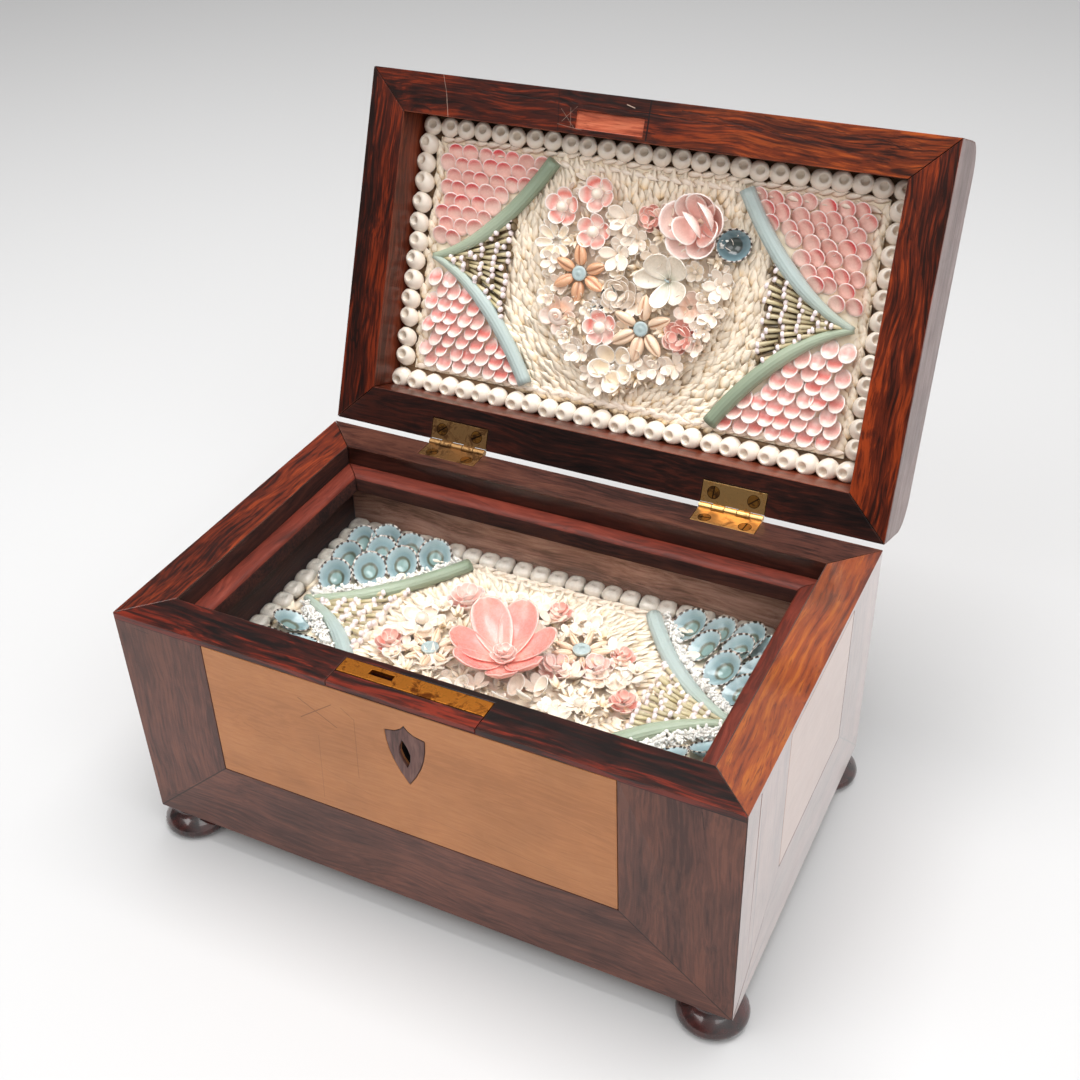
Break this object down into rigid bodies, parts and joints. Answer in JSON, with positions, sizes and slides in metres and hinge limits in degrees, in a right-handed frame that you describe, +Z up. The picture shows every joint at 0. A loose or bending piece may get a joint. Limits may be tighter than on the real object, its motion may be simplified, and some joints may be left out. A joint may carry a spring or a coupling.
{
  "type": "shell box",
  "caption": "Rectangular wooden box on bun feet, open on brass hinges, with a picture of real shells in the lid and another under glass in the case.",
  "frame": {"origin": "middle of the bounding box, on the plane under the feet, with the lid open", "axes": "+X right along the long front, +Y back towards the hinges, +Z up"},
  "size_m": [0.3038, 0.2938, 0.308],
  "materials": {
    "rosewood": "polished dark red-brown veneer with black streaks",
    "maple": "polished figured maple with fine scratches",
    "lip_wood": "polished red mahogany",
    "pine": "bare softwood",
    "ebonised": "glossy ebonised turning",
    "brass": "aged lacquered brass",
    "old_brass": "tarnished brown brass",
    "glass": "clear pane with a little dust",
    "pearl_shell": "pearly white shell",
    "cream_shell": "matt cream rice shells",
    "pink_shell": "pink shell fading to white rims",
    "deep_pink_shell": "deep pink shell with pale edges",
    "spine": "matt sage-green ridged spine",
    "quill": "olive quills with lilac-white tips",
    "limpet": "glossy pale blue limpet",
    "cowrie": "glossy tan cowrie",
    "white_shell": "white and cream shell"
  },
  "bodies": {
    "case": {"case_back": "rosewood", "case_bottom": "pine", "case_cowrie_flower_left": "cowrie", "case_cowrie_flower_right": "cowrie", "case_flower_bed": "white_shell", "case_front": "rosewood", "case_left": "rosewood", "case_limpets_back_left": "limpet", "case_limpets_back_right": "limpet", "case_limpets_front_left": "limpet", "case_limpets_front_right": "limpet", "case_picture_board": "pine", "case_pink_flower": "deep_pink_shell", "case_quills_left": "quill", "case_quills_right": "quill", "case_right": "rosewood", "case_shell_border": "pearl_shell", "case_shell_ground": "cream_shell", "case_spines_left": "spine", "case_spines_right": "spine", "escutcheon": "rosewood", "foot_back_left": "ebonised", "foot_back_right": "ebonised", "foot_front_left": "ebonised", "foot_front_right": "ebonised", "glass_pane": "glass", "hinge_case_leaf_left": "old_brass", "hinge_case_leaf_right": "brass", "lip_back": "lip_wood", "lip_front": "lip_wood", "lip_left": "lip_wood", "lip_right": "lip_wood", "lock_plate": "brass", "panel_front": "maple", "panel_left": "maple", "panel_right": "maple", "rim_patch": "rosewood"},
    "lid": {"hinge_lid_leaf_left": "old_brass", "hinge_lid_leaf_right": "brass", "lid_back": "rosewood", "lid_cowrie_flower_left": "cowrie", "lid_cowrie_flower_low": "cowrie", "lid_flower_bed": "white_shell", "lid_front": "rosewood", "lid_left": "rosewood", "lid_picture_board": "pine", "lid_quills_left": "quill", "lid_quills_right": "quill", "lid_right": "rosewood", "lid_rose": "pink_shell", "lid_scales_lower_left": "pink_shell", "lid_scales_lower_right": "pink_shell", "lid_scales_upper_left": "pink_shell", "lid_scales_upper_right": "pink_shell", "lid_shell_border": "pearl_shell", "lid_shell_ground": "cream_shell", "lid_spines_left": "spine", "lid_spines_right": "spine", "lid_top_panel": "maple", "lid_white_flower": "white_shell"}
  },
  "joints": [
    {"name": "lid_hinge", "type": "hinge", "parent": "case", "child": "lid", "pos_m": [0, 0.04328, 0.13415], "axis": [1, 0, 0], "range_deg": [0, 111.35]}
  ]
}
